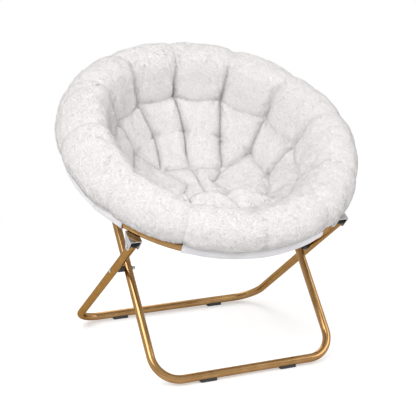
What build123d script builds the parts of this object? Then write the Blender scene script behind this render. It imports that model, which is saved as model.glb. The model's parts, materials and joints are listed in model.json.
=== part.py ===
from build123d import *
import os
from math import asin, atan2, cos, degrees, exp, hypot, radians, sin, sqrt

# A folding saucer chair: two U-shaped tube frames cross at a bolted pivot on each side, and their
# upper ends carry a tilted round ring, which folds in two across a pair of hinges ahead of its
# middle. A canvas bowl hangs in the ring and holds a thick tufted cushion.
# Millimetres. +Z up, +Y to the rear of the chair, X across it, floor at z = 0.

# ---- driving dimensions -------------------------------------------------------------------------
# Tube stock, the same for the legs and the ring
tube_diameter = 22.0
tube_wall = 1.2

# Leg frames
pivot_y = -52.1  # the scissor pivot, from the origin
pivot_height = 261.8
front_foot_reach = 204.1  # pivot to front floor bar, along Y
rear_foot_reach = 362.0  # pivot to rear floor bar, along Y
front_frame_half_width = 253.4  # to the arm's axis
spacer_length = 16.6  # keeps the crossing arms apart
bend_radius = 70.0
front_arm_length = 470.0  # pivot to the rear bracket's rivet
rear_arm_length = 177.4  # pivot to the front bracket's rivet
front_arm_overrun = 4.0  # tube past the rivet
rear_arm_overrun = 14.0

# Feet
pad_thickness = 4.0  # under the tube
pad_length = 46.0
pad_width = 19.0
pad_grip = 5.0  # how far the pad reaches up the tube
front_pad_spread = 114.0
rear_pad_spread = 154.0

# Ring
ring_radius = 380.5
ring_tilt = 29.2
ring_behind_pivot = 65.8
ring_height = 527.0
hinge_ahead = 150.0  # hinge line ahead of the ring's centre

# Ring hinges
hinge_gap = 26.0  # tube end to hinge pin, along the ring
leaf_thickness = 6.0
leaf_clearance = 0.6  # between the two leaves
eye_radius = 8.6
lug_height = 8.0  # where the lug meets its collar
collar_length = 6.0
plug_depth = 16.0

# Brackets
sheet = 2.5  # bracket plate
bracket_play = 1.6  # beside the arm, filled by a washer
bracket_eye = 10.0
front_web_ahead = 18.0  # web edges from the rivet, along the seat
front_web_behind = 26.0
rear_web_half = 18.0
screw_radius = 2.2
screw_edge = 9.0  # least web round a screw
front_screw_inset = 5.0  # from the arm's axis, to stay under the ring

# Fasteners
bolt_radius = 3.0
rivet_head_radius = 5.6
head_height = 2.4
nut_radius = 5.6
nut_length = 8.0
washer_radius = 6.0
spacer_radius = 8.0
plug_flange = 3.0  # end plug outside the tube
plug_reach = 6.0  # end plug inside the tube

# Seat
canvas = 1.5
sleeve_gap = 0.5  # ring tube to sleeve
canvas_depth = 122.0  # bowl under the ring's plane, at its middle
front_bare_inwards = 102.0  # the sleeve stops this far from each front arm's axis
front_bare_outwards = 14.0
rear_bare = 30.0  # and this far each side of a rear arm's axis
rear_notch = 42.0  # how far the canvas is cut in over a rear bracket
channels = 12
sections_per_lobe = 4
cushion_gap = 1.6  # cushion to canvas
middle_radius = 30.0
middle_level = -84.0  # levels are from the ring's plane
tuft_radii = (116.0, 190.0, 256.0)
tuft_levels = (-90.0, -51.0, 22.0)
front_mound = (23.0, 71.0, 23.0)  # how much higher the tufts stand in the middle of the front
mound_spread = 0.6  # of a tuft ring's radius, across the chair
roll_inside = 50.5  # centre of the rim's round section at the rear, inside the ring tube's
roll_level = 55.0
roll_radius = 76.0
front_roll_inside = 28.5
front_roll_level = 50.0
front_roll_radius = 45.0
under_outside = 15.5  # where the roll's underside begins, outside the ring tube's centre
front_under_outside = 3.5
under_level = 19.0
channel_drop = 12.0  # channels below the puffs
puff_rise = 10.0

# Clearances
fit = 0.05  # pin in a hole it turns in
touch = 0.2  # between pieces that bear on each other

# ---- worked out ---------------------------------------------------------------------------------
tube_radius = tube_diameter / 2
bore = tube_radius - tube_wall
rear_frame_half_width = front_frame_half_width + tube_diameter + spacer_length
roll_centre = ring_radius - roll_inside
front_roll_centre = ring_radius - front_roll_inside
under_radius = ring_radius + under_outside
front_under_radius = ring_radius + front_under_outside
bar_height = pad_thickness + tube_radius
pivot = Vector(0, pivot_y, pivot_height)
leg_rise = pivot_height - bar_height
front_foot_length = hypot(front_foot_reach, leg_rise)
rear_foot_length = hypot(rear_foot_reach, leg_rise)
front_arm = Vector(0, front_foot_reach, leg_rise).normalized()
rear_arm = Vector(0, -rear_foot_reach, leg_rise).normalized()
seat_normal = Vector(0, -sin(radians(ring_tilt)), cos(radians(ring_tilt)))
seat_centre = Vector(0, pivot_y + ring_behind_pivot, ring_height)
seat = Plane(origin=seat_centre, x_dir=(1, 0, 0), z_dir=seat_normal)
seat_axis = Axis(seat_centre, seat_normal)
front_rivet = pivot + rear_arm * rear_arm_length
rear_rivet = pivot + front_arm * front_arm_length
hinge_azimuth = -degrees(asin(hinge_ahead / ring_radius))
gap_angle = degrees(hinge_gap / ring_radius)
hinge_x = sqrt(ring_radius**2 - hinge_ahead**2)
sleeve_radius = tube_radius + sleeve_gap
canvas_reach = ring_radius - sleeve_radius - canvas / 2
bowl_radius = (canvas_reach**2 + canvas_depth**2) / (2 * canvas_depth)

os.makedirs("parts", exist_ok=True)


def save(piece, name):
    """Label a finished piece and write it."""
    piece.label = name
    export_step(piece, f"parts/{name}.step")


def save_pair(piece, name):
    """Write the right-hand piece and its mirror image."""
    save(piece, f"{name}_right")
    save(mirror(piece, about=Plane.YZ), f"{name}_left")


def on_seat(point):
    """A point of the chair in the seat's own frame: across, back and up from the ring."""
    return seat.to_local_coords(point)


def radial_plane(azimuth):
    """The plane through the ring's axis at an azimuth: its x points outwards, its y up."""
    outwards = seat.x_dir * cos(radians(azimuth)) + seat.y_dir * sin(radians(azimuth))
    return Plane(origin=seat_centre, x_dir=outwards, z_dir=outwards.cross(seat_normal))


def across(x):
    """The seat's side-view plane at a distance x from the middle: its x points back, its y up."""
    return Plane(origin=seat_centre + Vector(x, 0, 0), x_dir=seat.y_dir, z_dir=(1, 0, 0))


def side_view(x):
    """The chair's side-view plane at a distance x from the middle, through the pivot."""
    return Plane(origin=pivot + Vector(x, 0, 0), x_dir=(0, 1, 0), z_dir=(1, 0, 0))


def bowl_level(radius, offset=0.0):
    """Height of the canvas bowl over the seat's frame, at a radius, with the canvas offset."""
    ball = bowl_radius - offset
    return bowl_radius - canvas_depth - sqrt(ball**2 - radius**2)


# ---- leg frames ---------------------------------------------------------------------------------
def leg_frame(half_width, arm, foot_length, arm_end, rivet):
    """A U of tube: two arms joined by the floor bar, drilled for the pivot bolt and the rivet."""
    frame_plane = Plane(origin=pivot, x_dir=(1, 0, 0), z_dir=Vector(1, 0, 0).cross(arm))
    corners = [
        (-half_width, arm_end),
        (-half_width, -foot_length),
        (half_width, -foot_length),
        (half_width, arm_end),
    ]
    with BuildPart() as frame:
        with BuildLine(frame_plane) as route:
            FilletPolyline(*corners, radius=bend_radius)
        with BuildSketch(Plane(origin=route.line @ 0, z_dir=route.line % 0)):
            Circle(tube_radius)
            Circle(bore, mode=Mode.SUBTRACT)
        sweep(path=route.line)
        for hole in (pivot, rivet):
            with BuildSketch(Plane(origin=hole, z_dir=(1, 0, 0))):
                Circle(bolt_radius + fit)
            extrude(amount=half_width + tube_diameter, both=True, mode=Mode.SUBTRACT)
    return frame.part


def end_plug(x, arm, end_length, hole):
    """A moulded plug that closes an arm's open end, notched where the rivet or bush passes."""
    mouth = Plane(origin=pivot + arm * end_length + Vector(x, 0, 0), z_dir=arm)
    with BuildPart() as plug:
        with BuildSketch(mouth):
            Circle(tube_radius)
        extrude(amount=plug_flange)
        fillet(plug.edges().group_by(SortBy.DISTANCE)[-1], plug_flange / 3)
        with BuildSketch(mouth):
            Circle(bore - touch)
            Circle(bore - tube_wall - touch, mode=Mode.SUBTRACT)
        extrude(amount=-plug_reach)
        with BuildSketch(Plane(origin=hole, z_dir=(1, 0, 0))):
            Circle(bolt_radius + touch)
        extrude(amount=x + tube_diameter, mode=Mode.SUBTRACT)
    return plug.part


front_end = front_arm_length + front_arm_overrun
rear_end = rear_arm_length + rear_arm_overrun
save(
    leg_frame(front_frame_half_width, front_arm, front_foot_length, front_end, rear_rivet),
    "front_leg_frame",
)
save(
    leg_frame(rear_frame_half_width, rear_arm, rear_foot_length, rear_end, front_rivet),
    "rear_leg_frame",
)
save_pair(end_plug(front_frame_half_width, front_arm, front_end, rear_rivet), "front_frame_end_plug")
save_pair(end_plug(rear_frame_half_width, rear_arm, rear_end, front_rivet), "rear_frame_end_plug")


# ---- foot pads ----------------------------------------------------------------------------------
def foot_pad(x, y):
    """A moulded pad cradling the underside of a floor bar."""
    with BuildPart() as pad:
        with BuildSketch(Plane.XY):
            with Locations((x, y)):
                RectangleRounded(pad_length, pad_width, pad_width / 4)
        extrude(amount=pad_thickness + pad_grip)
        with BuildSketch(Plane(origin=(x, y, bar_height), z_dir=(1, 0, 0))):
            Circle(tube_radius + touch)
        extrude(amount=pad_length, both=True, mode=Mode.SUBTRACT)
    return pad.part


save_pair(foot_pad(front_pad_spread, pivot_y - front_foot_reach), "front_foot_pad")
save_pair(foot_pad(rear_pad_spread, pivot_y + rear_foot_reach), "rear_foot_pad")

# ---- scissor pivots: bolt, spacer and cap nut on each side --------------------------------------
outer_face = rear_frame_half_width + tube_radius + touch
inner_face = front_frame_half_width - tube_radius - touch

with BuildPart() as pivot_bolt:
    with BuildSketch(side_view(inner_face - nut_length + head_height)):
        Circle(bolt_radius)
    extrude(amount=outer_face - inner_face + nut_length - head_height)
    with BuildSketch(side_view(outer_face)):
        Circle(nut_radius)
    extrude(amount=head_height)
    fillet(pivot_bolt.edges().sort_by(Axis.X)[-1], head_height / 2)
save_pair(pivot_bolt.part, "pivot_bolt")

with BuildPart() as pivot_spacer:
    with BuildSketch(side_view(front_frame_half_width + tube_radius + touch)):
        Circle(spacer_radius)
        Circle(bolt_radius + fit, mode=Mode.SUBTRACT)
    extrude(amount=spacer_length - 2 * touch)
save_pair(pivot_spacer.part, "pivot_spacer")

with BuildPart() as pivot_nut:
    with BuildSketch(side_view(inner_face)):
        RegularPolygon(nut_radius, 6)
    extrude(amount=-nut_length)
    chamfer(pivot_nut.faces().sort_by(Axis.X)[0].edges(), nut_radius / 8)
    with BuildSketch(side_view(inner_face)):
        Circle(bolt_radius + fit)
    extrude(amount=head_height - nut_length, mode=Mode.SUBTRACT)
save_pair(pivot_nut.part, "pivot_nut")


# ---- ring tubes ---------------------------------------------------------------------------------
def screw_place(x):
    """Where a bracket's screw meets the ring's centreline: across and back from the middle."""
    return x, sqrt(ring_radius**2 - x**2)


rear_screw_x, rear_screw_y = screw_place(front_frame_half_width)
front_rivet_seat = on_seat(front_rivet)
rear_rivet_seat = on_seat(rear_rivet)
front_screw_x, front_screw_y = screw_place(rear_frame_half_width - front_screw_inset)
front_web_start = min(front_rivet_seat.Y - front_web_ahead, -front_screw_y - screw_edge)
front_web_end = max(front_rivet_seat.Y + front_web_behind, screw_edge - front_screw_y)


def ring_tube(start, sweep_angle, screw_x, screw_y):
    """An arc of the ring, with a screw hole in its underside over each bracket."""
    with BuildPart() as tube:
        with BuildSketch(radial_plane(start)):
            with Locations((ring_radius, 0)):
                Circle(tube_radius)
                Circle(bore, mode=Mode.SUBTRACT)
        revolve(axis=seat_axis, revolution_arc=sweep_angle)
        with BuildSketch(seat):
            with Locations((screw_x, screw_y), (-screw_x, screw_y)):
                Circle(screw_radius + fit)
        extrude(amount=-tube_diameter, mode=Mode.SUBTRACT)
    return tube.part


rear_start = hinge_azimuth + gap_angle
front_start = 180 - hinge_azimuth + gap_angle
rear_arc = 180 - 2 * rear_start
front_arc = 180 + 2 * hinge_azimuth - 2 * gap_angle
save(ring_tube(rear_start, rear_arc, rear_screw_x, rear_screw_y), "ring_rear_tube")
save(ring_tube(front_start, front_arc, front_screw_x, -front_screw_y), "ring_front_tube")


# ---- ring hinges: a leaf plugged into each tube end, lapped and pinned --------------------------
def hinge_leaf(end_azimuth, towards_hinge, inner_x):
    """A hinge leaf for the right side: lug, collar and a plug that follows the tube's bore.

    All of it stays on its own side of the joint between the two leaves, so they fold flat."""
    collar_angle = degrees(collar_length / ring_radius) * towards_hinge
    plug_angle = -degrees(plug_depth / ring_radius) * towards_hinge
    end_plane = radial_plane(end_azimuth)
    lug_end = -hinge_ahead - towards_hinge * (hinge_gap - collar_length / 2)
    with BuildPart() as leaf:
        with BuildSketch(across(inner_x)):
            with Locations((-hinge_ahead, 0)):
                Circle(eye_radius)
            with Locations((lug_end, 0)):
                Rectangle(collar_length / 3, lug_height)
            make_hull()
        extrude(amount=leaf_thickness)
        for radius, angle in ((tube_radius, collar_angle), (bore - touch, plug_angle)):
            with BuildSketch(end_plane):
                with Locations((ring_radius, 0)):
                    Circle(radius)
            revolve(axis=seat_axis, revolution_arc=angle)
        with BuildSketch(across(hinge_x)):
            with Locations((-hinge_ahead, 0)):
                Circle(bolt_radius + fit)
        extrude(amount=tube_diameter, both=True, mode=Mode.SUBTRACT)
        if towards_hinge < 0:
            split(bisect_by=across(inner_x), keep=Keep.TOP)
        else:
            split(bisect_by=across(inner_x + leaf_thickness), keep=Keep.BOTTOM)
    return leaf.part


rear_leaf_x = hinge_x + leaf_clearance / 2
front_leaf_x = hinge_x - leaf_clearance / 2 - leaf_thickness
save_pair(hinge_leaf(rear_start, -1, rear_leaf_x), "ring_hinge_rear_leaf")
save_pair(hinge_leaf(hinge_azimuth - gap_angle, 1, front_leaf_x), "ring_hinge_front_leaf")

with BuildPart() as hinge_pin:
    with BuildSketch(across(front_leaf_x - touch)):
        with Locations((-hinge_ahead, 0)):
            Circle(bolt_radius)
    extrude(amount=2 * leaf_thickness + leaf_clearance + 2 * touch)
    for head_x, height in (
        (front_leaf_x - touch, -head_height),
        (rear_leaf_x + leaf_thickness + touch, head_height),
    ):
        with BuildSketch(across(head_x)):
            with Locations((-hinge_ahead, 0)):
                Circle(rivet_head_radius - 1)
        extrude(amount=height)
save_pair(hinge_pin.part, "ring_hinge_pin")

# ---- ring brackets: folded sheet channels that hold the arms' upper ends ------------------------
web_top = -tube_radius - touch
channel_half = tube_radius + bracket_play


def bracket(arm_x, rivet_seat, web_start, web_end, screw_x, screw_y):
    """A channel with its web under the ring and a rounded cheek each side of the arm."""
    half_width = channel_half + sheet
    web_middle = (web_start + web_end) / 2
    with BuildPart() as channel:
        with BuildSketch(across(arm_x - half_width)):
            with Locations((rivet_seat.Y, rivet_seat.Z)):
                Circle(bracket_eye)
            with Locations((web_middle, web_top - sheet / 2)):
                Rectangle(web_end - web_start, sheet)
            make_hull()
        extrude(amount=2 * half_width)
        with BuildSketch(across(arm_x - channel_half)):
            with Locations((web_middle, web_top - sheet)):
                Rectangle(16 * bracket_eye, 8 * bracket_eye, align=(Align.CENTER, Align.MAX))
        extrude(amount=2 * channel_half, mode=Mode.SUBTRACT)
        with BuildSketch(across(arm_x)):
            with Locations((rivet_seat.Y, rivet_seat.Z)):
                Circle(bolt_radius + fit)
        extrude(amount=2 * half_width, both=True, mode=Mode.SUBTRACT)
        with BuildSketch(seat):
            with Locations((screw_x, screw_y)):
                Circle(screw_radius + fit)
        extrude(amount=-tube_diameter, mode=Mode.SUBTRACT)
    return channel.part


def bracket_screw(x, y):
    """A pan-head screw up through a bracket's web into the ring tube."""
    under_web = web_top - sheet - touch
    with BuildPart() as screw:
        with BuildSketch(seat.offset(under_web)):
            with Locations((x, y)):
                Circle(2 * screw_radius)
        extrude(amount=-head_height)
        with BuildSketch(seat.offset(under_web)):
            with Locations((x, y)):
                Circle(screw_radius)
        extrude(amount=sheet + 2 * touch + 2 * tube_wall)
    return screw.part


def washers(arm_x, rivet_seat):
    """The two washers that fill the play between an arm and the bracket's cheeks."""
    with BuildPart() as pair:
        for start in (arm_x - channel_half + touch, arm_x + tube_radius + touch):
            with BuildSketch(across(start)):
                with Locations((rivet_seat.Y, rivet_seat.Z)):
                    Circle(washer_radius)
                    Circle(bolt_radius + fit, mode=Mode.SUBTRACT)
            extrude(amount=bracket_play - 2 * touch)
    return pair.part


def rivet(arm_x, rivet_seat, inner_reach):
    """A rivet's heads and shank: whole, or cut back to inner_reach each side of the arm's axis."""
    outer_reach = channel_half + sheet + touch
    with BuildPart() as fastener:
        for side in (-1, 1):
            with BuildSketch(across(arm_x + side * inner_reach)):
                with Locations((rivet_seat.Y, rivet_seat.Z)):
                    Circle(bolt_radius)
            extrude(amount=side * (outer_reach - inner_reach))
            with BuildSketch(across(arm_x + side * outer_reach)):
                with Locations((rivet_seat.Y, rivet_seat.Z)):
                    Circle(rivet_head_radius)
            extrude(amount=side * head_height, taper=20)
    return fastener.part


rear_web_start = rear_screw_y - rear_web_half
rear_web_end = rear_screw_y + rear_web_half
save_pair(
    bracket(
        rear_frame_half_width,
        front_rivet_seat,
        front_web_start,
        front_web_end,
        front_screw_x,
        -front_screw_y,
    ),
    "front_bracket",
)
save_pair(
    bracket(
        front_frame_half_width,
        rear_rivet_seat,
        rear_web_start,
        rear_web_end,
        rear_screw_x,
        rear_screw_y,
    ),
    "rear_bracket",
)
save_pair(bracket_screw(front_screw_x, -front_screw_y), "front_bracket_screw")
save_pair(bracket_screw(rear_screw_x, rear_screw_y), "rear_bracket_screw")
save_pair(washers(rear_frame_half_width, front_rivet_seat), "front_bracket_washers")
save_pair(rivet(rear_frame_half_width, front_rivet_seat, 0), "front_bracket_rivet")
save_pair(rivet(front_frame_half_width, rear_rivet_seat, channel_half), "rear_bracket_rivet")

with BuildPart() as arm_bush:
    with BuildSketch(across(front_frame_half_width - tube_radius)):
        with Locations((rear_rivet_seat.Y, rear_rivet_seat.Z)):
            Circle(bolt_radius)
            Circle(bolt_radius / 2, mode=Mode.SUBTRACT)
    extrude(amount=tube_diameter)
save_pair(arm_bush.part, "rear_bracket_bush")

# ---- canvas bowl with the sleeve sewn round the ring --------------------------------------------
rim_join = bowl_level(canvas_reach)
join_inner = bowl_level(canvas_reach, canvas)


def sleeve_cut(start, end, inwards):
    """A cutter for the stretch of sleeve between two azimuths, reaching inwards from the ring."""
    reach = sleeve_radius + 2 * canvas
    with BuildPart() as cutter:
        with BuildSketch(radial_plane(start)):
            with Locations((ring_radius - inwards, 0)):
                Rectangle(inwards + reach, 3 * reach, align=(Align.MIN, Align.CENTER))
        revolve(axis=seat_axis, revolution_arc=end - start)
    return cutter.part


def azimuth_at(x, rear):
    """The azimuth of the ring's centreline at a distance x right of the middle."""
    angle = degrees(atan2(sqrt(ring_radius**2 - x**2), x))
    return angle if rear else -angle


sleeve_reach = sleeve_radius + 2 * canvas
front_cut = sleeve_cut(
    azimuth_at(rear_frame_half_width - front_bare_inwards, False),
    azimuth_at(rear_frame_half_width + front_bare_outwards, False),
    sleeve_reach,
)
rear_cut = sleeve_cut(
    azimuth_at(front_frame_half_width + rear_bare, True),
    azimuth_at(front_frame_half_width - rear_bare, True),
    rear_notch,
)

with BuildPart() as seat_canvas:
    with BuildSketch(radial_plane(0)):
        with BuildLine():
            middle = canvas_reach / 2
            ThreePointArc(
                (0, -canvas_depth), (middle, bowl_level(middle)), (canvas_reach, rim_join)
            )
            Line((canvas_reach, rim_join), (canvas_reach, join_inner))
            ThreePointArc(
                (canvas_reach, join_inner),
                (middle, bowl_level(middle, canvas)),
                (0, canvas - canvas_depth),
            )
            Line((0, canvas - canvas_depth), (0, -canvas_depth))
        make_face()
    revolve(axis=seat_axis)
    with BuildSketch(radial_plane(0)):
        with Locations((ring_radius, 0)):
            Circle(sleeve_radius + canvas)
    revolve(axis=seat_axis)
    with BuildSketch(radial_plane(0)):
        with Locations((ring_radius, 0)):
            Circle(sleeve_radius)
    revolve(axis=seat_axis, mode=Mode.SUBTRACT)
    for cutter in (front_cut, rear_cut):
        add(cutter, mode=Mode.SUBTRACT)
        add(mirror(cutter, about=Plane.YZ), mode=Mode.SUBTRACT)
save(seat_canvas.part, "seat_canvas")


# ---- cushion: puffed lobes between channels, tufted in three rings, with a thick round rim ------
def cushion_section(azimuth, drop):
    """The cushion's section at an azimuth, with its upper side let down by drop.

    The front rolls thinner than the rear, and its middle rises in a mound behind the roll."""
    front = max(0, -sin(radians(azimuth)))
    roll_share = front**1.5
    mound = front * exp(-((cos(radians(azimuth)) / mound_spread) ** 2))
    centre = roll_centre + roll_share * (front_roll_centre - roll_centre)
    level = roll_level + roll_share * (front_roll_level - roll_level)
    radius = roll_radius + roll_share * (front_roll_radius - roll_radius) - drop / 2
    under = under_radius + roll_share * (front_under_radius - under_radius) - drop / 2
    lift = canvas + cushion_gap
    rise = puff_rise - drop / 2
    points = [(middle_radius, middle_level - drop)]
    for tuft_radius, tuft_level, tuft_mound in zip(tuft_radii, tuft_levels, front_mound):
        points.append((tuft_radius, tuft_level + mound * tuft_mound - drop))
    inner_side = (centre - radius / 2, level + radius * cos(radians(30)))
    outer_side = (centre + radius * cos(radians(15)), level + radius * sin(radians(15)))
    inside_ring = ring_radius - 3 * tube_radius
    with BuildSketch(radial_plane(azimuth)) as section:
        with BuildLine():
            for start, end in zip(points, points[1:]):
                SagittaArc(start, end, rise)
            SagittaArc(points[-1], inner_side, rise)
            ThreePointArc(inner_side, outer_side, (under, under_level))
            Line((under, under_level), (inside_ring + tube_radius / 2, under_level))
            low_edge = (inside_ring, bowl_level(inside_ring, lift))
            low_middle = (inside_ring / 2, bowl_level(inside_ring / 2, lift))
            low_start = (middle_radius, bowl_level(middle_radius, lift))
            Line((inside_ring + tube_radius / 2, under_level), low_edge)
            ThreePointArc(low_edge, low_middle, low_start)
            Line(low_start, points[0])
        make_face()
    return section.sketch


sections_in_ring = channels * sections_per_lobe
with BuildPart() as seat_cushion:
    for half in (0, 180):
        for step in range(sections_in_ring // 2 + 1):
            azimuth = half + step * 360 / sections_in_ring
            drop = channel_drop * (1 + cos(radians(channels * azimuth))) / 2
            add(cushion_section(azimuth, drop))
        loft()
    middle_bottom = bowl_level(middle_radius, canvas + cushion_gap) + cushion_gap
    middle_top = middle_level - 1.5 * channel_drop
    with BuildSketch(seat.offset(middle_bottom)):
        Circle(middle_radius + channel_drop / 2)
    extrude(amount=middle_top - middle_bottom)
save(seat_cushion.part, "seat_cushion")
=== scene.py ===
# %% [markdown]
# # A folding saucer chair
# The metal frame comes from the CAD model, already in place. This script gives it its finishes and
# makes the soft parts around it: the canvas that hangs in the ring and the fur cushion on top.

# %% Load the frame
import json
from math import asin, atan2, cos, exp, hypot, pi, radians, sin, sqrt

import bpy
import numpy as np
from mathutils import Matrix, Vector, noise


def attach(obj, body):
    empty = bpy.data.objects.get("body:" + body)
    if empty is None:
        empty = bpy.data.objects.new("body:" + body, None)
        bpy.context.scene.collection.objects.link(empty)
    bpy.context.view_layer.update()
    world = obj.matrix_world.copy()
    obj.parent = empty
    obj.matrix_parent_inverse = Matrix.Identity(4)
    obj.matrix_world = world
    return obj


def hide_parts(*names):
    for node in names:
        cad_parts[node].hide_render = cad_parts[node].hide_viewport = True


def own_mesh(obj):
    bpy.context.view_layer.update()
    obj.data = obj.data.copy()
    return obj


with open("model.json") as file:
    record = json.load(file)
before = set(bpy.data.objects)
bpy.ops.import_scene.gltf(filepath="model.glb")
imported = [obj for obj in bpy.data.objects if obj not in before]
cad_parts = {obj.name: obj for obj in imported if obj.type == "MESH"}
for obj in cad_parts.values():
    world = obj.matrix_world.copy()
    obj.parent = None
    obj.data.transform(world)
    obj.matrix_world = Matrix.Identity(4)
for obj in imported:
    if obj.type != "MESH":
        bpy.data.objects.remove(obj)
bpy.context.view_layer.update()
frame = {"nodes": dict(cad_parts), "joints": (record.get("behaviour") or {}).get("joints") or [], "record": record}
scene = bpy.context.scene
joints = {joint["name"]: joint for joint in frame["joints"]}

# %% [markdown]
# ## The seat's own axes
# The ring is tilted, so every soft part is laid out in the ring's plane: across, back along the
# slope, and up square to it. One function turns such a place into a point of the room. The ring's
# centre is found from the frame's hinge joint.

# %% Seat axes
RING_TILT = radians(29.2)
RING_RADIUS = 0.3805  # of the tube's centre line, in metres like every length here
HINGE_AHEAD = 0.150  # hinge line ahead of the ring's centre
BACK = Vector((0, cos(RING_TILT), sin(RING_TILT)))
UP = Vector((0, -sin(RING_TILT), cos(RING_TILT)))
HINGE_POINT = Vector(joints["ring_hinge"]["pos_m"])
SEAT_CENTRE = HINGE_POINT + BACK * HINGE_AHEAD


def seat_point(across, back, up):
    """A point given in the ring's plane, in room coordinates."""
    return SEAT_CENTRE + Vector((across, 0, 0)) + BACK * back + UP * up


def round_point(azimuth, radius, up):
    """The same, from an azimuth about the ring's axis: 0 is the right, a quarter turn the rear."""
    return seat_point(radius * cos(azimuth), radius * sin(azimuth), up)


print("seat centre", tuple(round(v, 4) for v in SEAT_CENTRE))

# %% [markdown]
# ## Small helpers
# Blender's operators act on whatever is selected, so each step starts from a clean selection.
# Round forms are laid out in columns, one for each azimuth, that run from the middle outwards.

# %% Helpers
def select_only(piece):
    """Make one object the only selected one, and the active one."""
    if bpy.context.object and bpy.context.object.mode != "OBJECT":
        bpy.ops.object.mode_set(mode="OBJECT")
    bpy.ops.object.select_all(action="DESELECT")
    piece.select_set(True)
    bpy.context.view_layer.objects.active = piece


def mesh_piece(name, points, faces):
    """A new object from points and faces, shaded smooth."""
    data = bpy.data.meshes.new(name)
    data.from_pydata([tuple(point) for point in points], [], faces)
    data.validate()
    data.polygons.foreach_set("use_smooth", [True] * len(data.polygons))
    piece = bpy.data.objects.new(name, data)
    scene.collection.objects.link(piece)
    return piece


def round_faces(columns, rows):
    """The quads of a round grid whose last column joins its first, without the middle."""
    faces = []
    for column in range(columns):
        here = column * rows
        there = (column + 1) % columns * rows
        for row in range(rows - 1):
            faces.append((here + row, here + row + 1, there + row + 1, there + row))
    return faces


def face_outwards(piece):
    """Turn all faces of a piece outwards."""
    select_only(piece)
    bpy.ops.object.mode_set(mode="EDIT")
    bpy.ops.mesh.select_all(action="SELECT")
    bpy.ops.mesh.normals_make_consistent(inside=False)
    bpy.ops.object.mode_set(mode="OBJECT")


def thicken(piece, thickness, offset):
    """Give a surface a wall: all of it outside for an offset of 1, half on each side for 0."""
    wall = piece.modifiers.new("wall", "SOLIDIFY")
    wall.thickness = thickness
    wall.offset = offset
    select_only(piece)
    bpy.ops.object.modifier_apply(modifier="wall")


def wobble(place, size, seed=0.0):
    """Smooth noise from -1 to 1 that changes over about the given size."""
    return noise.noise(Vector(place) / size + Vector((seed, -seed, 2 * seed)))


# %% [markdown]
# ## A shared shader group
# Plating, plastic and cloth all have faint uneven places. One node group makes that unevenness
# from object coordinates, and each material uses it at its own scale and strength.

# %% Shader group
def add_node(tree, kind, **settings):
    """A node with its properties and its inputs' values set by name."""
    node = tree.nodes.new(kind)
    for key, value in settings.items():
        if key in node.inputs:
            node.inputs[key].default_value = value
        else:
            setattr(node, key, value)
    return node


uneven = bpy.data.node_groups.new("uneven finish", "ShaderNodeTree")
for label in ("Scale", "Base", "Spread"):
    uneven.interface.new_socket(label, in_out="INPUT", socket_type="NodeSocketFloat")
for label in ("Value", "Height"):
    uneven.interface.new_socket(label, in_out="OUTPUT", socket_type="NodeSocketFloat")
start = uneven.nodes.new("NodeGroupInput")
end = uneven.nodes.new("NodeGroupOutput")
place = add_node(uneven, "ShaderNodeTexCoord")
broad = add_node(uneven, "ShaderNodeTexNoise", Detail=4.0, Roughness=0.6)
spread = add_node(uneven, "ShaderNodeMath", operation="MULTIPLY_ADD")
centred = add_node(uneven, "ShaderNodeMath", operation="SUBTRACT")
centred.inputs[1].default_value = 0.5
uneven.links.new(place.outputs["Object"], broad.inputs["Vector"])
uneven.links.new(start.outputs["Scale"], broad.inputs["Scale"])
uneven.links.new(broad.outputs["Fac"], centred.inputs[0])
uneven.links.new(centred.outputs[0], spread.inputs[0])
uneven.links.new(start.outputs["Spread"], spread.inputs[1])
uneven.links.new(start.outputs["Base"], spread.inputs[2])
uneven.links.new(spread.outputs[0], end.inputs["Value"])
uneven.links.new(broad.outputs["Fac"], end.inputs["Height"])


def new_material(name):
    """A material with its Principled shader."""
    made = bpy.data.materials.new(name)
    made.use_nodes = True
    return made, made.node_tree, made.node_tree.nodes["Principled BSDF"]


def add_uneven(tree, scale, base, spread):
    """The shared group, with this material's own values."""
    node = tree.nodes.new("ShaderNodeGroup")
    node.node_tree = uneven
    node.inputs["Scale"].default_value = scale
    node.inputs["Base"].default_value = base
    node.inputs["Spread"].default_value = spread
    return node


def add_bump(tree, height, shader, strength, distance):
    """A bump from a height socket into a shader's normal."""
    bump = add_node(tree, "ShaderNodeBump", Strength=strength, Distance=distance)
    tree.links.new(height, bump.inputs["Height"])
    tree.links.new(bump.outputs["Normal"], shader.inputs["Normal"])


def two_colours(tree, factor, low, high, first=0.35, last=0.65):
    """A ramp between two colours, driven by a factor socket."""
    ramp = add_node(tree, "ShaderNodeValToRGB")
    ramp.color_ramp.elements[0].position = first
    ramp.color_ramp.elements[0].color = (*low, 1)
    ramp.color_ramp.elements[1].position = last
    ramp.color_ramp.elements[1].color = (*high, 1)
    tree.links.new(factor, ramp.inputs["Fac"])
    return ramp.outputs["Color"]


# %% [markdown]
# ## Metal and plastic finishes
# The tubes carry a warm antique gold, glossy enough to show bright and dark bands along their
# length. The brackets are bright plated sheet, the bolts plain steel, and the feet, plugs and
# spacers black moulded plastic.

# %% Metal and plastic
def metal(name, low, high, roughness, spread, scale, bump, edge=(1.0, 1.0, 1.0)):
    """A metallic finish, uneven in tint and gloss, with `edge` as its tint at a glancing view."""
    made, tree, shader = new_material(name)
    finish = add_uneven(tree, scale, roughness, spread)
    shader.inputs["Metallic"].default_value = 1.0
    shader.inputs["Specular Tint"].default_value = (*edge, 1.0)
    tree.links.new(finish.outputs["Value"], shader.inputs["Roughness"])
    tint = two_colours(tree, finish.outputs["Height"], low, high)
    tree.links.new(tint, shader.inputs["Base Color"])
    add_bump(tree, finish.outputs["Height"], shader, strength=bump, distance=0.0004)
    return made


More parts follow.
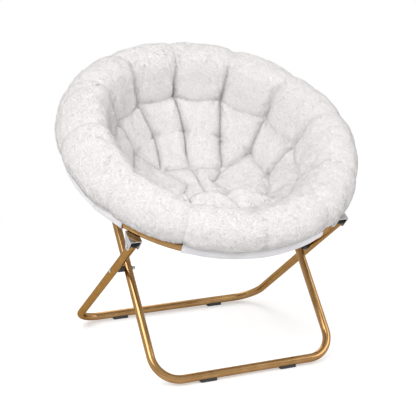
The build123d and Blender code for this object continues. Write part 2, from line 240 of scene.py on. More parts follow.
gold_finish = metal(
    "antique gold plating",
    (0.31, 0.175, 0.070),
    (0.38, 0.225, 0.095),
    roughness=0.17,
    spread=0.10,
    scale=26,
    bump=0.05,
    edge=(0.62, 0.50, 0.38),
)
chrome_finish = metal(
    "bright plated sheet",
    (0.40, 0.40, 0.41),
    (0.52, 0.52, 0.53),
    roughness=0.20,
    spread=0.12,
    scale=60,
    bump=0.10,
)
steel_finish = metal(
    "plain steel",
    (0.42, 0.42, 0.43),
    (0.56, 0.56, 0.56),
    roughness=0.32,
    spread=0.15,
    scale=120,
    bump=0.15,
)

plastic_finish, tree, shader = new_material("black moulded plastic")
finish = add_uneven(tree, scale=900, base=0.46, spread=0.25)
tree.links.new(finish.outputs["Value"], shader.inputs["Roughness"])
tint = two_colours(
    tree, finish.outputs["Height"], low=(0.012, 0.012, 0.013), high=(0.03, 0.03, 0.031)
)
tree.links.new(tint, shader.inputs["Base Color"])
add_bump(tree, finish.outputs["Height"], shader, strength=0.25, distance=0.0003)

FINISHES = {
    "gold_tube": gold_finish,
    "chrome_bracket": chrome_finish,
    "steel_hardware": steel_finish,
    "black_plastic": plastic_finish,
}
slot_of = {part["node"]: part["material_slot"] for part in frame["record"]["subparts"]}
for name, node in frame["nodes"].items():
    if slot_of[name] in FINISHES:
        node.data.materials.clear()
        node.data.materials.append(FINISHES[slot_of[name]])

# %% [markdown]
# ## Canvas and fur finishes
# The canvas is an off-white plain weave: two crossed sets of fine ridges. The fur is white with
# fine streaks and slightly warm shadows between its locks.

# %% Cloth finishes
canvas_finish, tree, shader = new_material("off-white canvas")
place = add_node(tree, "ShaderNodeTexCoord")
ridges = []
for direction in ("X", "Z"):
    wave = add_node(
        tree,
        "ShaderNodeTexWave",
        wave_type="BANDS",
        bands_direction=direction,
        Scale=420.0,
        Distortion=1.2,
        Detail=1.0,
    )
    tree.links.new(place.outputs["Object"], wave.inputs["Vector"])
    ridges.append(wave.outputs["Fac"])
weave = add_node(tree, "ShaderNodeMath", operation="MAXIMUM")
tree.links.new(ridges[0], weave.inputs[0])
tree.links.new(ridges[1], weave.inputs[1])
finish = add_uneven(tree, scale=14, base=0.86, spread=0.12)
tint = two_colours(
    tree, finish.outputs["Height"], low=(0.70, 0.69, 0.71), high=(0.80, 0.79, 0.81)
)
tree.links.new(tint, shader.inputs["Base Color"])
tree.links.new(finish.outputs["Value"], shader.inputs["Roughness"])
shader.inputs["Sheen Weight"].default_value = 0.15
add_bump(tree, weave.outputs[0], shader, strength=0.25, distance=0.0006)

fur_finish, tree, shader = new_material("white fur")
place = add_node(tree, "ShaderNodeTexCoord")
streaks = add_node(tree, "ShaderNodeTexNoise", Scale=260.0, Detail=5.0, Roughness=0.65)
tree.links.new(place.outputs["Object"], streaks.inputs["Vector"])
tint = two_colours(
    tree,
    streaks.outputs["Fac"],
    low=(0.73, 0.70, 0.685),
    high=(0.89, 0.87, 0.865),
    first=0.3,
    last=0.6,
)
tree.links.new(tint, shader.inputs["Base Color"])
shader.inputs["Roughness"].default_value = 0.95
shader.inputs["Sheen Weight"].default_value = 0.3
shader.inputs["Specular IOR Level"].default_value = 0.15
add_bump(tree, streaks.outputs["Fac"], shader, strength=0.5, distance=0.003)

# %% [markdown]
# ## The cushion's shape
# A saucer cushion is a round quilt stuffed with fibre and stitched through at its tufts. Two things
# make its surface: a smooth profile turned about the ring's axis, thick and high at the rear and
# thinner at the front, where its middle rises in a mound, and a relief on top of it, where the
# stuffing swells between the seams and the tufts pull it in.

# %% Cushion profile
CHANNELS = 12  # grooves that run in from the rim
MIDDLE_LEVEL = -0.086
# radius and level of the floor's, the inner and the outer tufts
TUFT_RINGS = ((0.116, -0.090), (0.190, -0.051), (0.256, 0.022))
REAR_ROLL = (0.334, 0.058, 0.075, -30)  # the rim's round section: centre, level, radius, last angle
FRONT_ROLL = (0.354, 0.049, 0.047, -48)
ROLL_START = 100  # the section's first angle, in degrees above the way out
ROLL_POINTS = 7
CORNER = radians(320)  # the rim hangs lower over the front bracket on the right
CORNER_SAG = 0.014
CORNER_SPREAD = radians(17)
MOUND_FOOT = 0.085  # the front's mound rises from here to its ridge, ahead of the middle
MOUND_RIDGE = 0.190
MOUND_BASE = -0.16  # its level at the foot, out of sight under the profile
MOUND_LEVEL = 0.034
MOUND_TURN = 0.02  # to the right of here the ridge bends forward and sinks
MOUND_BEND = 0.30
MOUND_FALL = 0.20
MOUND_ROUNDING = 0.009  # where it meets the profile
SPLINE_STEPS = 24  # between two given points
COLUMNS = CHANNELS * 48
ROWS = 150


def spline(points, count):
    """Points evenly spaced by length along a smooth curve through the given ones."""
    points = np.array(points)
    gaps = np.linalg.norm(np.diff(points, axis=0), axis=1)
    slopes = np.diff(points, axis=0) / gaps[:, None]
    before, after = gaps[:-1, None], gaps[1:, None]
    inner = (after * slopes[:-1] + before * slopes[1:]) / (before + after)
    tangents = np.vstack([slopes[:1], inner, slopes[-1:]])
    t = np.linspace(0, 1, SPLINE_STEPS, endpoint=False)[:, None]
    fine = []
    for first, gap in enumerate(gaps):
        fine.append(
            (2 * t**3 - 3 * t**2 + 1) * points[first]
            + (t**3 - 2 * t**2 + t) * gap * tangents[first]
            + (3 * t**2 - 2 * t**3) * points[first + 1]
            + (t**3 - t**2) * gap * tangents[first + 1]
        )
    fine = np.vstack([*fine, points[-1:]])
    lengths = np.concatenate([[0], np.cumsum(np.linalg.norm(np.diff(fine, axis=0), axis=1))])
    even = np.linspace(0, lengths[-1], count)
    return np.stack([np.interp(even, lengths, fine[:, axis]) for axis in (0, 1)], axis=1)


def profile(azimuth):
    """The cushion's upper side at an azimuth, from the middle out over the rim: radius, level."""
    share = max(0, -sin(azimuth))
    centre, level, radius, last = (
        rear + share * (fore - rear) for rear, fore in zip(REAR_ROLL, FRONT_ROLL)
    )
    level -= CORNER_SAG * exp(-(((azimuth - CORNER) / CORNER_SPREAD) ** 2))
    points = [(0, MIDDLE_LEVEL), *TUFT_RINGS]
    for step in range(ROLL_POINTS):
        angle = radians(ROLL_START + (last - ROLL_START) * step / (ROLL_POINTS - 1))
        points.append((centre + radius * cos(angle), level + radius * sin(angle)))
    return spline(points, ROWS)


azimuths = np.arange(COLUMNS) * 2 * pi / COLUMNS
lines = np.array([profile(azimuth) for azimuth in azimuths])
radii = lines[:, :, 0]
across = radii * np.cos(azimuths)[:, None]
back = radii * np.sin(azimuths)[:, None]
to_right = np.maximum(across - MOUND_TURN, 0)
climb = (-back - MOUND_BEND * to_right - MOUND_FOOT) / (MOUND_RIDGE - MOUND_FOOT)
climb = np.clip(climb, 0, 1)
rise = MOUND_LEVEL - MOUND_BASE - MOUND_FALL * to_right
mound = MOUND_BASE + rise * climb * climb * (3 - 2 * climb)
both = np.logaddexp(lines[:, :, 1] / MOUND_ROUNDING, mound / MOUND_ROUNDING)
lines[:, :, 1] = np.where(radii < REAR_ROLL[0], both * MOUND_ROUNDING, lines[:, :, 1])
print("cushion grid", lines.shape)

# %% [markdown]
# ## Seams and tufts
# Seen square to the seat, every seam is a straight line, so the whole quilting is a list of such
# lines. Twelve channels run in from the rim through two rings of tufts. The floor of the seat has
# two rows of three tufts instead of a third ring, and slanting seams join them to the sides, as in
# the photograph.

# %% Seams
CHANNEL = (0.0120, 0.0040)  # depth and width of a seam's groove
RIM_CHANNEL = (0.0118, 0.0055)
CROSS = (0.0090, 0.0034)
FAINT = (0.0105, 0.0036)
BEYOND_RIM = 1.6  # where the channels end, well outside the cushion
FLOOR_WAIST = 0.45  # the floor's seams draw together to this share between its two rows
INNER_TURN = radians(-6.5)  # the inner ring of tufts is sewn a little round from the outer
OUTER_TURNS = {4: -3, 5: -8, 6: -5}  # degrees that these outer tufts are off their even places


def plan(radius, angle):
    """A place in the ring's plane, across and back, from its radius and azimuth."""
    return radius * cos(angle), radius * sin(angle)


def tuft(ring, hour):
    """The place of a tuft of ring 1, the inner, or 2, the outer, with hours from the right."""
    turn = INNER_TURN if ring == 1 else radians(OUTER_TURNS.get(hour, 0))
    return plan(TUFT_RINGS[ring][0], hour * 2 * pi / CHANNELS + turn)


floor_rear = [(0.096, 0.058), (0.003, 0.076), (-0.083, 0.070)]
floor_front = [(x, -y) for x, y in floor_rear]
inner = [tuft(1, hour) for hour in range(CHANNELS)]
outer = [tuft(2, hour) for hour in range(CHANNELS)]
rim = [plan(BEYOND_RIM, hour * 2 * pi / CHANNELS) for hour in range(CHANNELS)]

seams = []
for hour in range(CHANNELS):
    after = (hour + 1) % CHANNELS
    seams.append((outer[hour], rim[hour], RIM_CHANNEL))
    seams.append((outer[hour], inner[hour], CHANNEL))
    seams.append((outer[hour], outer[after], CROSS))
for hours, row in (((2, 3, 4), floor_rear), ((10, 9, 8), floor_front)):
    for hour, place in zip(hours, row):
        seams.append((inner[hour], place, CHANNEL))
    seams.append((row[0], row[1], CROSS))
    seams.append((row[1], row[2], CROSS))
for hours, row in (((1, 5), floor_rear), ((11, 7), floor_front)):
    seams.append((inner[hours[0]], row[0], CROSS))
    seams.append((inner[hours[1]], row[2], CROSS))
for first, second in ((0, 1), (0, 11), (6, 5), (6, 7)):
    seams.append((inner[first], inner[second], CROSS))
for hour in range(1, 5):
    seams.append((inner[hour], inner[hour + 1], FAINT))
for rear_place, front_place in zip(floor_rear, floor_front):
    waist = (rear_place[0] * FLOOR_WAIST, 0)
    seams.append((rear_place, waist, CROSS))
    seams.append((waist, front_place, CROSS))
tufts = inner + outer + floor_rear + floor_front
print("seams", len(seams), "tufts", len(tufts))


def distance_to(start, end):
    """How far each place of the grid is from a seam, and how far along the seam it is, 0 to 1."""
    run = (end[0] - start[0], end[1] - start[1])
    length = hypot(*run)
    share = ((swayed_across - start[0]) * run[0] + (swayed_back - start[1]) * run[1]) / length**2
    share = np.clip(share, 0, 1)
    off = np.hypot(
        swayed_across - start[0] - share * run[0], swayed_back - start[1] - share * run[1]
    )
    return off, share


# %% [markdown]
# ## Relief
# The relief adds up the swelling of the pads, the grooves, the pits at the tufts, short pleats that
# fan out from the outer tufts, and loose wrinkles on the rim. Smooth noise bends the seams and
# makes no two pads alike. On the rim the fur is longer, so the grooves are shallow and wide there.

# %% Relief
SWAY = 0.0035  # how far the noise bends a seam
SWAY_SIZE = 0.06
SWAY_SEEDS = (1.7, 8.2)  # across, back
PAD_SWELL = 0.0105
PAD_REACH = 0.036  # from a seam to where its pad is full
SEWN_DEPTH = 0.003  # how much lower the whole quilting lies than the rim
TUFT_PIT = (0.017, 0.0085)  # depth and width
RIM_WIDER = 1.6  # how much wider a groove is on the rim
RIM_SHALLOWER = 0.72
RIM_FLATTER = 0.6  # how much flatter a pad is there, and how much further it reaches
CROSS_TAPER = 0.45  # a cross seam is this much shallower half way
PLEAT = (0.0040, 0.0028)  # depth and width
PLEAT_TURN = (2.2, 4.4)  # degrees between neighbours
PLEAT_LENGTH = (0.035, 0.075)
PLEAT_FADE = (0.5, 0.3)  # powers: how it fades outwards, and how it sets in at the tuft
WRINKLES = 60
WRINKLE_START = (0.285, 0.340)
WRINKLE_LENGTH = (0.020, 0.050)
WRINKLE_TURN = 0.10
WRINKLE_DEPTH = (0.0015, 0.0032)
WRINKLE_WIDTH = 0.005
WRINKLE_ENDS = (0.02, 0.98)  # it stops abruptly rather than fading to nothing
LUMPS = ((0.0026, 0.045, 3.0), (0.0012, 0.016, 6.0))  # height, size, seed


def noise_grid(size, seed):
    """Smooth noise from -1 to 1 at every place of the grid."""
    return np.array(
        [
            [wobble((x, y, up), size, seed) for x, y, up in zip(*columns)]
            for columns in zip(across, back, lines[:, :, 1])
        ]
    )


swayed_across = across + SWAY * noise_grid(SWAY_SIZE, SWAY_SEEDS[0])
swayed_back = back + SWAY * noise_grid(SWAY_SIZE, SWAY_SEEDS[1])
rim_ring = TUFT_RINGS[2][0]
outside = np.clip((radii - rim_ring) / (REAR_ROLL[0] - rim_ring), 0, 1)
outside = outside * outside * (3 - 2 * outside)

groove = np.zeros_like(radii)
nearest = np.full_like(radii, 1.0)
for start, end, kind in seams:
    off, share = distance_to(start, end)
    depth, width = kind
    taper = 1.0
    if kind == CROSS:
        taper = 1 - CROSS_TAPER * np.sin(pi * share)
    if kind == FAINT:
        taper = np.abs(2 * share - 1)
    else:
        nearest = np.minimum(nearest, off)
    wide = width * (1 + RIM_WIDER * outside)
    deep = depth * (1 - RIM_SHALLOWER * outside) * taper
    groove = np.maximum(groove, deep * np.exp(-off / wide))
reach = PAD_REACH * (1 + RIM_FLATTER * outside)
dome = 1 - (1 - np.minimum(nearest / reach, 1)) ** 3
relief = PAD_SWELL * (1 - RIM_FLATTER * outside) * dome - groove - SEWN_DEPTH * (1 - outside)
for place in tufts:
    off = np.hypot(across - place[0], back - place[1])
    relief -= TUFT_PIT[0] * np.exp(-off / TUFT_PIT[1])

crease_seed = np.random.default_rng(4)
for place in outer:
    angle = atan2(place[1], place[0])
    for side in (-2, -1, 1, 2):
        spread = radians(side * crease_seed.uniform(*PLEAT_TURN))
        end = plan(rim_ring + crease_seed.uniform(*PLEAT_LENGTH), angle + spread)
        off, share = distance_to(place, end)
        fade = PLEAT[0] * (1 - share) ** PLEAT_FADE[0] * share ** PLEAT_FADE[1]
        relief -= fade * np.exp(-off / PLEAT[1])
for _ in range(WRINKLES):
    angle = crease_seed.uniform(0, 2 * pi)
    near = crease_seed.uniform(*WRINKLE_START)
    far = near + crease_seed.uniform(*WRINKLE_LENGTH)
    turn = crease_seed.uniform(-WRINKLE_TURN, WRINKLE_TURN)
    off, share = distance_to(plan(near, angle), plan(far, angle + turn))
    deep = crease_seed.uniform(*WRINKLE_DEPTH)
    swell = np.sin(pi * np.clip(share, *WRINKLE_ENDS))
    relief -= deep * swell * np.exp(-off / WRINKLE_WIDTH)
relief += sum(height * noise_grid(size, seed) for height, size, seed in LUMPS)
print("relief from", round(relief.min() * 1000, 1), "to", round(relief.max() * 1000, 1), "mm")

# %% [markdown]
# ## The cushion's mesh
# The relief stands square to the profile, and stops short of the canvas. The mesh goes on under the
# rim and down along the canvas, so the cushion is one closed form.

# %% Cushion surface
CANVAS_DEPTH = 0.122
BOWL_REACH = RING_RADIUS - 0.012
BOWL_RADIUS = (BOWL_REACH**2 + CANVAS_DEPTH**2) / (2 * CANVAS_DEPTH)  # of its spherical form
LEAST_PAD = 0.010  # stuffing left under the deepest tuft
INNER_BOWL = 0.9 * BOWL_REACH  # further out the canvas is taken as level
NO_FLOOR = -1  # a level below everything, for the rim
UNDER_GAP = 0.0031  # between the canvas and the cushion
UNDER_RIM = [(0.372, 0.019), (0.350, 0.012)]  # radius, level
UNDER_RADII = (0.330, 0.29, 0.25, 0.21, 0.17, 0.13, 0.09, 0.05)


def bowl_level(radius, offset=0.0):
    """Height of the hanging canvas at a radius, or of a surface a little above it."""
    return BOWL_RADIUS - CANVAS_DEPTH - np.sqrt((BOWL_RADIUS - offset) ** 2 - radius**2)


slope = np.gradient(lines, axis=1)
slope /= np.linalg.norm(slope, axis=2, keepdims=True)
shaped = lines + relief[:, :, None] * np.stack([-slope[:, :, 1], slope[:, :, 0]], axis=2)
floor_level = bowl_level(np.minimum(shaped[:, :, 0], INNER_BOWL)) + LEAST_PAD
shaped[:, :, 1] = np.maximum(shaped[:, :, 1], np.where(outside < 1, floor_level, NO_FLOOR))
shaped[:, 0] = (0, MIDDLE_LEVEL + float(relief[:, 0].mean()))
to_room = np.array([(1, 0, 0), tuple(BACK), tuple(UP)])


def room_points(radius, azimuth, up):
    """Arrays of places in the ring's plane, in room coordinates."""
    places = np.stack([radius * np.cos(azimuth), radius * np.sin(azimuth), up], axis=-1)
    return np.array(SEAT_CENTRE) + places @ to_room


surface = room_points(shaped[:, :, 0], azimuths[:, None], shaped[:, :, 1])
under_line = UNDER_RIM + [(radius, bowl_level(radius, UNDER_GAP)) for radius in UNDER_RADII]

per_column = ROWS - 1 + len(under_line)
points = []
for column in range(COLUMNS):
    points += [tuple(place) for place in surface[column, 1:]]
    points += [round_point(azimuths[column], radius, up) for radius, up in under_line]
faces = round_faces(COLUMNS, per_column)
top_pole = len(points)
points.append(tuple(surface[0, 0]))
bottom_pole = len(points)
points.append(seat_point(0, 0, bowl_level(0, UNDER_GAP)))
for column in range(COLUMNS):
    here = column * per_column
    there = (column + 1) % COLUMNS * per_column
    faces.append((top_pole, here, there))
    faces.append((bottom_pole, there + per_column - 1, here + per_column - 1))
cushion = mesh_piece("fur_cushion_whole", points, faces)
cushion.data.materials.append(fur_finish)
print("cushion", len(cushion.data.polygons), "faces")

# %% [markdown]
# ## Splitting the cushion at the hinge line
# When the chair folds, the front of the ring turns under the rear. The cushion is cut across the
# hinge line into two closed pieces that meet exactly at rest, and each rides on its half of the ring.


def go_with_seat(piece, body):
    """Let a soft piece ride on a body, with a mesh of its own."""
    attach(piece, body)
    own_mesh(piece)


def half_of(piece, name, keep_front):
    """A copy of a closed piece cut across the hinge line, with the cut closed."""
    copy = piece.copy()
    copy.data = piece.data.copy()
    copy.name = name
    copy.data.name = name
    scene.collection.objects.link(copy)
    select_only(copy)
    bpy.ops.object.mode_set(mode="EDIT")
    bpy.ops.mesh.select_all(action="SELECT")
    bpy.ops.mesh.bisect(
        plane_co=HINGE_POINT,
        plane_no=BACK,
        use_fill=True,
        clear_outer=keep_front,
        clear_inner=not keep_front,
    )
    face_outwards(copy)
    return copy


cushion_rear = half_of(cushion, "fur_cushion_rear", False)
cushion_front = half_of(cushion, "fur_cushion_front", True)
bpy.data.objects.remove(cushion)
for piece, body in ((cushion_rear, "ring_rear"), (cushion_front, "ring_front")):
    go_with_seat(piece, body)
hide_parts("seat_cushion")

# %% [markdown]
# ## The pile
# The cover is a white fur with a dense pile. Each lock is a thin closed spike that leans over the
# surface: down and outwards on the rim, where the pile is long, and down the slope inside the seat,
# where it lies flat. The locks are strewn by area from a fixed seed, more thickly on the rim, and
# each stays with the half of the cushion that it grows on. Their shading follows the cushion under
# them rather than their own small faces, so the pile looks soft.

# %% Pile
LOCKS = 140000
REAR_SHARES = 3  # the rear's locks are shared out over this many pieces
LOCK_LENGTH = (0.012, 0.022)  # inside the seat, on the rim
LOCK_WIDTH = (0.0016, 0.0024)
LENGTH_SPREAD = (0.6, 1.2)
LOCK_RIDGE = (0.6, 0.3)  # how high its back stands, and how far behind the root, in widths
LOCK_LIFT = (0.12, 0.36)  # angle off the surface, in radians
RIM_LIFT = 0.20  # more of it on the rim
ROOT_DEPTH = 0.001
INNER_DENSITY = 0.6
RIM_FROM = 0.25  # the long pile sets in between here
RIM_WITHIN = 0.06  # and this much further out
OUTWARD_PULL = (-0.5, 1.1)  # inside the seat, added on the rim
DOWNWARD_PULL = -0.8
STRAY = 0.22
CLUMP_SIZE = 0.020
CLUMP_SEEDS = (1.0, 4.0, 9.0)
CLUMP_PULL = 0.7
LEAN_SHADE = 0.3  # how much a lock's lean, its frizz and its clump turn its shading
FRIZZ_SHADE = (0.14, 0.10)
CLUMP_SHADE = 0.25
SPIKE_SIDES = ((0, 3, 2), (2, 3, 1), (1, 3, 0), (0, 2, 1))
pile_seed = np.random.default_rng(11)
beside = np.roll(surface, -1, axis=0)
edge_out = surface[:, 2:] - surface[:, 1:-1]
edge_round = beside[:, 1:-1] - surface[:, 1:-1]
square = np.cross(edge_round, edge_out)
area = np.linalg.norm(square, axis=2)
on_rim = np.clip((radii[:, 1:-1] - RIM_FROM) / RIM_WITHIN, 0, 1)
chance = (area * (INNER_DENSITY + (1 - INNER_DENSITY) * on_rim)).ravel()
cells = pile_seed.choice(chance.size, LOCKS, p=chance / chance.sum())


def unit(vectors):
    """Vectors brought to a length of 1."""
    return vectors / np.linalg.norm(vectors, axis=-1, keepdims=True)


def per_lock(grid):
    """The value of a grid at each lock's cell."""
    return grid.reshape(-1, *grid.shape[2:])[cells]


def from_rim(inner_and_rim):
    """A value for each lock between the one inside the seat and the one on the rim."""
    return inner_and_rim[0] + rim_share * (inner_and_rim[1] - inner_and_rim[0])


outwards = unit(per_lock(edge_out))
normals = unit(per_lock(square))
rim_share = per_lock(on_rim)[:, None]
roots = per_lock(surface[:, 1:-1])
roots = roots + pile_seed.random((LOCKS, 1)) * per_lock(edge_out)
roots = roots + pile_seed.random((LOCKS, 1)) * per_lock(edge_round)
stray = pile_seed.normal(0, STRAY, (LOCKS, 3))
clump = np.array([[wobble(root, CLUMP_SIZE, seed) for seed in CLUMP_SEEDS] for root in roots])
pull = outwards * (OUTWARD_PULL[1] * rim_share + OUTWARD_PULL[0]) + np.array([0, 0, DOWNWARD_PULL])
lean = pull + stray + CLUMP_PULL * clump
lean = unit(lean - normals * np.sum(lean * normals, axis=1, keepdims=True))
lift = pile_seed.uniform(*LOCK_LIFT, (LOCKS, 1)) + RIM_LIFT * rim_share
length = from_rim(LOCK_LENGTH) * pile_seed.uniform(*LENGTH_SPREAD, (LOCKS, 1))
width = from_rim(LOCK_WIDTH)
sideways = np.cross(normals, lean)
tips = roots + length * (np.cos(lift) * lean + np.sin(lift) * normals)
corners = np.stack(
    [
        roots - ROOT_DEPTH * normals + 0.5 * width * sideways,
        roots - ROOT_DEPTH * normals - 0.5 * width * sideways,
        roots + LOCK_RIDGE[0] * width * normals - LOCK_RIDGE[1] * width * lean,
        tips,
    ],
    axis=1,
)
frizz = (FRIZZ_SHADE[0] + FRIZZ_SHADE[1] * rim_share) * pile_seed.normal(0, 1, (LOCKS, 3))
shading = unit(normals + LEAN_SHADE * lean + frizz + CLUMP_SHADE * rim_share * clump)
behind = (roots - np.array(HINGE_POINT)) @ np.array(BACK) > 0
shares = [("fur_pile_front", ~behind, "ring_front")]
for share in range(REAR_SHARES):
    picked = behind & (np.arange(LOCKS) % REAR_SHARES == share)
    shares.append((f"fur_pile_rear_{share + 1}", picked, "ring_rear"))
for name, picked, body in shares:
    first = np.arange(picked.sum())[:, None] * len(SPIKE_SIDES)
    sides = np.stack([first + side for side in SPIKE_SIDES], axis=1)
    piece = mesh_piece(name, corners[picked].reshape(-1, 3), sides.reshape(-1, 3).tolist())
    per_corner = np.repeat(shading[picked], corners.shape[1], axis=0)
    piece.data.normals_split_custom_set_from_vertices(per_corner.tolist())
    piece.data.materials.append(fur_finish)
    go_with_seat(piece, body)
    print(name, picked.sum(), "locks")

# %% [markdown]
# ## The canvas sleeve
# The canvas bowl hangs inside the ring, and its edge is sewn into a sleeve round the tube. The
# sleeve stops short of the brackets, where the bare tube shows, and is cut at the ring's hinges.

# %% Canvas sleeve
SLEEVE_RADIUS = 0.0124
SLEEVE_WALL = 0.0009
SLEEVE_SIDES = 14
SLEEVE_STEP = 0.008
HEM = 0.0012  # how far the folded end stands out
LOOSENESS = 0.0008
LOOSE_ALONG = 4  # how fast the looseness changes along the ring
LOOSE_SIZE = 0.6
LOOSE_SEED = 3.0
LEAST_STEPS = 6
BARE = (0.190, 0.306)  # the front tube is bare between these distances from the chair's middle
REAR_BARE = (0.224, 0.284)
HINGE_AZIMUTH = -asin(HINGE_AHEAD / RING_RADIUS)


def sleeve(name, body, first, last):
    """A stretch of sleeve round the ring between two azimuths, with a hem at each end."""
    count = max(LEAST_STEPS, int(abs(last - first) * RING_RADIUS / SLEEVE_STEP))
    points = []
    faces = []
    for step in range(count + 1):
        azimuth = first + (last - first) * step / count
        hem = HEM if step in (0, 1, count - 1, count) else 0.0
        for side in range(SLEEVE_SIDES):
            angle = 2 * pi * side / SLEEVE_SIDES
            spot = (azimuth * LOOSE_ALONG, cos(angle), sin(angle))
            loose = LOOSENESS * wobble(spot, LOOSE_SIZE, LOOSE_SEED)
            wall = SLEEVE_RADIUS + hem + loose
            points.append(
                round_point(azimuth, RING_RADIUS + wall * cos(angle), wall * sin(angle))
            )
    for step in range(count):
        for side in range(SLEEVE_SIDES):
            here = step * SLEEVE_SIDES + side
            beside = step * SLEEVE_SIDES + (side + 1) % SLEEVE_SIDES
            faces.append((here, beside, beside + SLEEVE_SIDES, here + SLEEVE_SIDES))
    piece = mesh_piece(name, points, faces)
    face_outwards(piece)
    thicken(piece, SLEEVE_WALL, 1.0)
    piece.data.materials.append(canvas_finish)
    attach(piece, body)


def azimuth_of(across, rear):
    """The azimuth of the ring's centre line at a distance from the chair's middle."""
    angle = atan2(sqrt(RING_RADIUS**2 - across**2), across)
    return angle if rear else -angle


front_end, front_start = (azimuth_of(distance, False) for distance in BARE)
rear_end, rear_start = (azimuth_of(distance, True) for distance in REAR_BARE)
sleeve("sleeve_front_middle", "ring_front", -pi - front_end, front_end)
sleeve("sleeve_front_right", "ring_front", front_start, HINGE_AZIMUTH)
sleeve("sleeve_front_left", "ring_front", -pi - front_start, -pi - HINGE_AZIMUTH)
sleeve("sleeve_side_right", "ring_rear", HINGE_AZIMUTH, rear_start)
sleeve("sleeve_side_left", "ring_rear", pi - HINGE_AZIMUTH, pi - rear_start)
sleeve("sleeve_rear_middle", "ring_rear", rear_end, pi - rear_end)

# %% [markdown]
# ## The canvas bowl
# The bowl is a shallow part of a sphere, sewn from eight gores. A tape covers each seam
# underneath. Both are cut at the hinge line, as the cushion is. The two sheets' flat sizes are arcs
# of the sphere: across the bowl or along the cut, and from the cut to the edge.

# %% Canvas bowl
BOWL_COLUMNS = 144
BOWL_ROWS = 24
BOWL_WALL = 0.0012
points = []
for column in range(BOWL_COLUMNS):
    azimuth = 2 * pi * column / BOWL_COLUMNS
    for row in range(1, BOWL_ROWS + 1):
        radius = BOWL_REACH * row / BOWL_ROWS
        points.append(round_point(azimuth, radius, bowl_level(radius)))
faces = round_faces(BOWL_COLUMNS, BOWL_ROWS)
middle = len(points)
points.append(seat_point(0, 0, bowl_level(0)))
for column in range(BOWL_COLUMNS):
    faces.append((middle, column * BOWL_ROWS, (column + 1) % BOWL_COLUMNS * BOWL_ROWS))
bowl = mesh_piece("canvas_bowl_whole", points, faces)
thicken(bowl, BOWL_WALL, 1.0)
bowl.data.materials.append(canvas_finish)
bowl_rear = half_of(bowl, "canvas_bowl_rear", False)
bowl_front = half_of(bowl, "canvas_bowl_front", True)
bpy.data.objects.remove(bowl)

# %% Canvas seams
GORES = 8
TAPE_STEPS = 40
TAPE_START = 0.012  # from the bowl's middle
TAPE_END = BOWL_REACH - 0.006
TAPE_HALF = 0.0055  # half its width
TAPE_UNDER = 0.0021  # below the bowl's upper side
TAPE_WALL = 0.0009
TAPE_ARCH = 0.0004  # how much lower its middle hangs
RUCK = 0.0003
RUCK_SIZE = 0.006
RUCK_SEED = 2.0
points = []
faces = []
for gore in range(GORES):
    azimuth = 2 * pi * (gore + 0.5) / GORES
    aside = Vector((-sin(azimuth), 0, 0)) + BACK * cos(azimuth)
    for step in range(TAPE_STEPS + 1):
        radius = TAPE_START + (TAPE_END - TAPE_START) * step / TAPE_STEPS
        middle = round_point(azimuth, radius, bowl_level(radius) - TAPE_UNDER)
        ruck = RUCK * wobble((radius, azimuth, 0), RUCK_SIZE, RUCK_SEED)
        for side in (-1, 0, 1):
            drop = ruck + TAPE_ARCH * (1 - side * side)
            points.append(middle + aside * side * TAPE_HALF - UP * drop)
    for step in range(TAPE_STEPS):
        here = (gore * (TAPE_STEPS + 1) + step) * 3
        faces.append((here, here + 1, here + 4, here + 3))
        faces.append((here + 1, here + 2, here + 5, here + 4))
tapes = mesh_piece("canvas_tapes_whole", points, faces)
thicken(tapes, TAPE_WALL, 0.0)
tapes.data.materials.append(canvas_finish)
tapes_rear = half_of(tapes, "canvas_tapes_rear", False)
tapes_front = half_of(tapes, "canvas_tapes_front", True)
bpy.data.objects.remove(tapes)

REAR_AREA = 0.75  # the share of the bowl's area that lies behind the hinge line
edge_arc = BOWL_RADIUS * asin(BOWL_REACH / BOWL_RADIUS)
hinge_arc = BOWL_RADIUS * asin(HINGE_AHEAD / BOWL_RADIUS)
hinge_bend = sqrt(BOWL_RADIUS**2 - HINGE_AHEAD**2)
hinge_width = 2 * hinge_bend * asin(sqrt(BOWL_REACH**2 - HINGE_AHEAD**2) / hinge_bend)
for piece, trim, body, share, flat in (
    (bowl_rear, tapes_rear, "ring_rear", REAR_AREA, (2 * edge_arc, edge_arc + hinge_arc)),
    (bowl_front, tapes_front, "ring_front", 1 - REAR_AREA, (hinge_width, edge_arc - hinge_arc)),
):
    go_with_seat(piece, body)
    go_with_seat(trim, body)
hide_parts("seat_canvas")

# %% [markdown]
# ## Floor, light and camera
# The chair stands on a plain white floor in soft, even light. Seen directly, the floor glows a
# little and turns to plain white further out, and it still takes the chair's shadow.

# %% Stage
FLOOR_SIZE = 24
FLOOR_GREY = 0.80
FLOOR_GLOW = 0.26
WHITE_FROM = 0.7  # the floor turns white between these distances from the chair
WHITE_TO = 1.7
WORLD_LIGHT = 0.70  # what the surroundings give; seen directly they are white


def seen_directly(tree):
    """A socket that is 1 for rays from the camera or off metal or glass, and else 0."""
    paths = add_node(tree, "ShaderNodeLightPath")
    either = add_node(tree, "ShaderNodeMath", operation="MAXIMUM")
    any_of = add_node(tree, "ShaderNodeMath", operation="MAXIMUM")
    tree.links.new(paths.outputs["Is Glossy Ray"], either.inputs[0])
    tree.links.new(paths.outputs["Is Transmission Ray"], either.inputs[1])
    tree.links.new(paths.outputs["Is Camera Ray"], any_of.inputs[0])
    tree.links.new(either.outputs[0], any_of.inputs[1])
    return any_of.outputs[0]


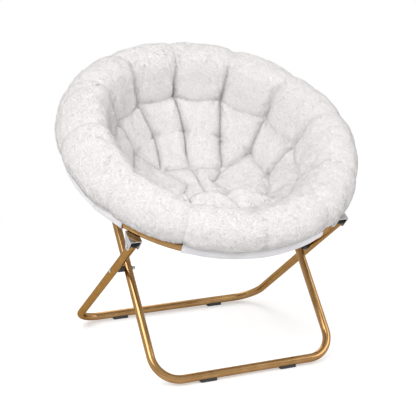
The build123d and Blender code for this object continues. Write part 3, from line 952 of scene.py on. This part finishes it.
bpy.ops.object.select_all(action="DESELECT")
bpy.ops.mesh.primitive_plane_add(size=FLOOR_SIZE, location=(0, 0, 0))
floor = bpy.context.object
floor.name = "studio_floor"
floor_finish, tree, shader = new_material("white studio floor")
shader.inputs["Base Color"].default_value = (FLOOR_GREY, FLOOR_GREY, FLOOR_GREY, 1)
shader.inputs["Roughness"].default_value = 0.9
glow = add_node(tree, "ShaderNodeEmission")
shown = add_node(tree, "ShaderNodeEmission", Strength=FLOOR_GLOW)
near = add_node(tree, "ShaderNodeAddShader")
place = add_node(tree, "ShaderNodeTexCoord")
away = add_node(tree, "ShaderNodeVectorMath", operation="LENGTH")
far = add_node(tree, "ShaderNodeMapRange", interpolation_type="SMOOTHSTEP")
far.inputs["From Min"].default_value = WHITE_FROM
far.inputs["From Max"].default_value = WHITE_TO
by_distance = add_node(tree, "ShaderNodeMixShader")
by_ray = add_node(tree, "ShaderNodeMixShader")
tree.links.new(shader.outputs[0], near.inputs[0])
tree.links.new(shown.outputs[0], near.inputs[1])
tree.links.new(place.outputs["Object"], away.inputs[0])
tree.links.new(away.outputs["Value"], far.inputs["Value"])
tree.links.new(far.outputs["Result"], by_distance.inputs["Fac"])
tree.links.new(near.outputs[0], by_distance.inputs[1])
tree.links.new(glow.outputs[0], by_distance.inputs[2])
tree.links.new(seen_directly(tree), by_ray.inputs["Fac"])
tree.links.new(shader.outputs[0], by_ray.inputs[1])
tree.links.new(by_distance.outputs[0], by_ray.inputs[2])
tree.links.new(by_ray.outputs[0], tree.nodes["Material Output"].inputs["Surface"])
floor.data.materials.append(floor_finish)

world = bpy.data.worlds.new("studio")
scene.world = world
world.use_nodes = True
background = world.node_tree.nodes["Background"]
background.inputs["Color"].default_value = (1, 1, 1, 1)
level = add_node(world.node_tree, "ShaderNodeMapRange")
level.inputs["To Min"].default_value = WORLD_LIGHT
level.inputs["To Max"].default_value = 1.0
world.node_tree.links.new(seen_directly(world.node_tree), level.inputs["Value"])
world.node_tree.links.new(level.outputs["Result"], background.inputs["Strength"])


def softbox(name, place, aim, size, power):
    """A large square lamp that points at a place."""
    data = bpy.data.lights.new(name, "AREA")
    data.size = size
    data.energy = power
    lamp = bpy.data.objects.new(name, data)
    lamp.location = place
    lamp.rotation_euler = (Vector(aim) - Vector(place)).to_track_quat("-Z", "Y").to_euler()
    scene.collection.objects.link(lamp)


softbox("key_softbox", (-2.2, -1.6, 3.0), aim=(0, 0, 0.4), size=2.4, power=74)
softbox("fill_softbox", (2.6, -2.0, 1.8), aim=(0, 0, 0.4), size=2.0, power=34)
softbox("back_softbox", (0.4, 3.0, 2.6), aim=(0, 0, 0.6), size=2.0, power=36)

# %% Camera
CAMERA_PLACE = Vector((-1.16472, -2.65171, 1.05126))
CAMERA_YAW = radians(23.707)
CAMERA_PITCH = radians(12.88)
CAMERA_ROLL = radians(0.223)
PHOTO_WIDTH = 416
FOCAL_PIXELS = 1086.52
SENSOR = 36.0
camera_data = bpy.data.cameras.new("photo camera")
camera_data.sensor_width = SENSOR
camera_data.lens = FOCAL_PIXELS / PHOTO_WIDTH * SENSOR
camera = bpy.data.objects.new("photo camera", camera_data)
scene.collection.objects.link(camera)
forward = Vector(
    (
        sin(CAMERA_YAW) * cos(CAMERA_PITCH),
        cos(CAMERA_YAW) * cos(CAMERA_PITCH),
        -sin(CAMERA_PITCH),
    )
)
camera.location = CAMERA_PLACE
turn = forward.to_track_quat("-Z", "Y")
camera.rotation_mode = "QUATERNION"
camera.rotation_quaternion = turn @ Matrix.Rotation(-CAMERA_ROLL, 3, "Z").to_quaternion()
scene.camera = camera
scene.view_settings.view_transform = "Standard"
